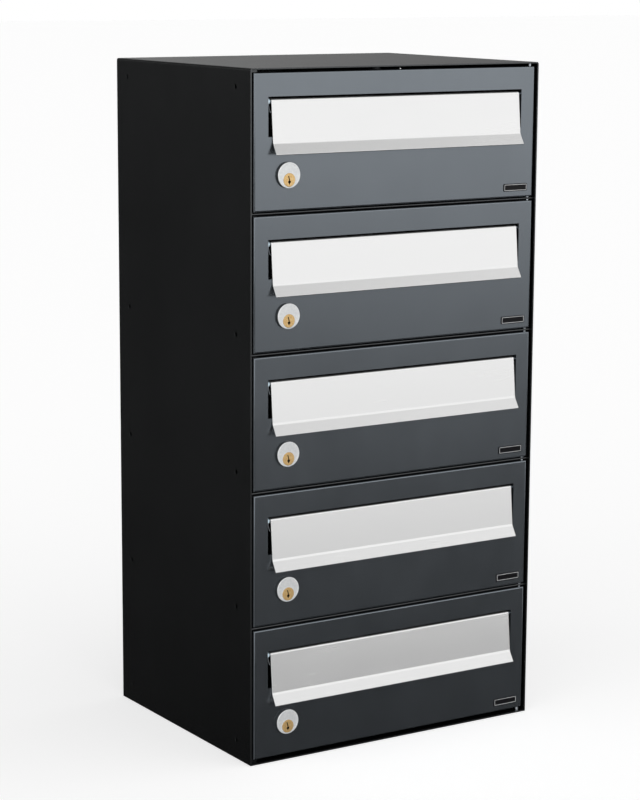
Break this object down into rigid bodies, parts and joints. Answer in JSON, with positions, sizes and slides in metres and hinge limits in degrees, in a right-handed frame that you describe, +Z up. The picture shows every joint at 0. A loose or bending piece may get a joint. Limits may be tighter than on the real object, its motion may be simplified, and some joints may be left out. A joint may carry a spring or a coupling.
{
  "type": "cluster mailbox unit",
  "caption": "Stacked steel cabinet of lockable letter compartments, each with a hinged door, a top-hung aluminium slot flap and a cam lock.",
  "frame": {"origin": "middle of the casing's underside", "axes": "+Z up, the doors face -Y, +X to the right as seen from the front (the doors' hinge side)"},
  "size_m": [0.385, 0.3151, 0.776],
  "materials": {
    "casing_coat": "black fine-texture powder coat, semi-matt",
    "door_coat": "anthracite fine-texture powder coat, satin",
    "flap_aluminium": "natural anodised, fine lengthwise grain",
    "lock_zinc": "die-cast zinc, satin nickel plated",
    "plug_brass": "turned brass, slightly tarnished",
    "plated_steel": "zinc plated steel",
    "name_plate": "glossy black with a pale printed rule, blank"
  },
  "bodies": {
    "casing": {"casing_wrap": "casing_coat", "bottom_panel": "casing_coat", "back_panel": "casing_coat", "strike_rail": "casing_coat", "strike_strip": "casing_coat", "shelf_1": "casing_coat", "shelf_2": "casing_coat", "shelf_3": "casing_coat", "shelf_4": "casing_coat", "hinge_pin_1": "plated_steel", "hinge_pin_2": "plated_steel", "hinge_pin_3": "plated_steel", "hinge_pin_4": "plated_steel", "hinge_pin_5": "plated_steel", "hinge_pin_6": "plated_steel"},
    "door_1": {"door_panel_1": "door_coat", "flap_rod_1": "plated_steel", "lock_body_1": "lock_zinc", "lock_clip_1": "plated_steel", "name_plate_1": "name_plate"},
    "flap_1": {"letter_flap_1": "flap_aluminium"},
    "lock_1": {"lock_plug_1": "plug_brass", "lock_cam_1": "plated_steel", "cam_screw_1": "plated_steel"},
    "door_2": {"door_panel_2": "door_coat", "flap_rod_2": "plated_steel", "lock_body_2": "lock_zinc", "lock_clip_2": "plated_steel", "name_plate_2": "name_plate"},
    "flap_2": {"letter_flap_2": "flap_aluminium"},
    "lock_2": {"lock_plug_2": "plug_brass", "lock_cam_2": "plated_steel", "cam_screw_2": "plated_steel"},
    "door_3": {"door_panel_3": "door_coat", "flap_rod_3": "plated_steel", "lock_body_3": "lock_zinc", "lock_clip_3": "plated_steel", "name_plate_3": "name_plate"},
    "flap_3": {"letter_flap_3": "flap_aluminium"},
    "lock_3": {"lock_plug_3": "plug_brass", "lock_cam_3": "plated_steel", "cam_screw_3": "plated_steel"},
    "door_4": {"door_panel_4": "door_coat", "flap_rod_4": "plated_steel", "lock_body_4": "lock_zinc", "lock_clip_4": "plated_steel", "name_plate_4": "name_plate"},
    "flap_4": {"letter_flap_4": "flap_aluminium"},
    "lock_4": {"lock_plug_4": "plug_brass", "lock_cam_4": "plated_steel", "cam_screw_4": "plated_steel"},
    "door_5": {"door_panel_5": "door_coat", "flap_rod_5": "plated_steel", "lock_body_5": "lock_zinc", "lock_clip_5": "plated_steel", "name_plate_5": "name_plate"},
    "flap_5": {"letter_flap_5": "flap_aluminium"},
    "lock_5": {"lock_plug_5": "plug_brass", "lock_cam_5": "plated_steel", "cam_screw_5": "plated_steel"}
  },
  "joints": [
    {"name": "door_1_swing", "type": "hinge", "parent": "casing", "child": "door_1", "pos_m": [0.1835, -0.1481, 0.0805], "axis": [0, 0, 1], "range_deg": [0, 110]},
    {"name": "flap_1_lift", "type": "hinge", "parent": "door_1", "child": "flap_1", "pos_m": [0.00135, -0.1474, 0.1242], "axis": [-1, 0, 0], "range_deg": [0, 95], "stiffness_Nm_per_rad": 0.01, "springref_deg": -20.05},
    {"name": "lock_1_turn", "type": "hinge", "parent": "door_1", "child": "lock_1", "pos_m": [-0.145, -0.152, 0.0395], "axis": [0, -1, 0], "range_deg": [0, 90]},
    {"name": "door_2_swing", "type": "hinge", "parent": "casing", "child": "door_2", "pos_m": [0.1835, -0.1481, 0.2345], "axis": [0, 0, 1], "range_deg": [0, 110]},
    {"name": "flap_2_lift", "type": "hinge", "parent": "door_2", "child": "flap_2", "pos_m": [0.00135, -0.1474, 0.2782], "axis": [-1, 0, 0], "range_deg": [0, 95], "stiffness_Nm_per_rad": 0.01, "springref_deg": -20.05},
    {"name": "lock_2_turn", "type": "hinge", "parent": "door_2", "child": "lock_2", "pos_m": [-0.145, -0.152, 0.1935], "axis": [0, -1, 0], "range_deg": [0, 90]},
    {"name": "door_3_swing", "type": "hinge", "parent": "casing", "child": "door_3", "pos_m": [0.1835, -0.1481, 0.3885], "axis": [0, 0, 1], "range_deg": [0, 110]},
    {"name": "flap_3_lift", "type": "hinge", "parent": "door_3", "child": "flap_3", "pos_m": [0.00135, -0.1474, 0.4322], "axis": [-1, 0, 0], "range_deg": [0, 95], "stiffness_Nm_per_rad": 0.01, "springref_deg": -20.05},
    {"name": "lock_3_turn", "type": "hinge", "parent": "door_3", "child": "lock_3", "pos_m": [-0.145, -0.152, 0.3475], "axis": [0, -1, 0], "range_deg": [0, 90]},
    {"name": "door_4_swing", "type": "hinge", "parent": "casing", "child": "door_4", "pos_m": [0.1835, -0.1481, 0.5425], "axis": [0, 0, 1], "range_deg": [0, 110]},
    {"name": "flap_4_lift", "type": "hinge", "parent": "door_4", "child": "flap_4", "pos_m": [0.00135, -0.1474, 0.5862], "axis": [-1, 0, 0], "range_deg": [0, 95], "stiffness_Nm_per_rad": 0.01, "springref_deg": -20.05},
    {"name": "lock_4_turn", "type": "hinge", "parent": "door_4", "child": "lock_4", "pos_m": [-0.145, -0.152, 0.5015], "axis": [0, -1, 0], "range_deg": [0, 90]},
    {"name": "door_5_swing", "type": "hinge", "parent": "casing", "child": "door_5", "pos_m": [0.1835, -0.1481, 0.6965], "axis": [0, 0, 1], "range_deg": [0, 110]},
    {"name": "flap_5_lift", "type": "hinge", "parent": "door_5", "child": "flap_5", "pos_m": [0.00135, -0.1474, 0.7402], "axis": [-1, 0, 0], "range_deg": [0, 95], "stiffness_Nm_per_rad": 0.01, "springref_deg": -20.05},
    {"name": "lock_5_turn", "type": "hinge", "parent": "door_5", "child": "lock_5", "pos_m": [-0.145, -0.152, 0.6555], "axis": [0, -1, 0], "range_deg": [0, 90]}
  ]
}
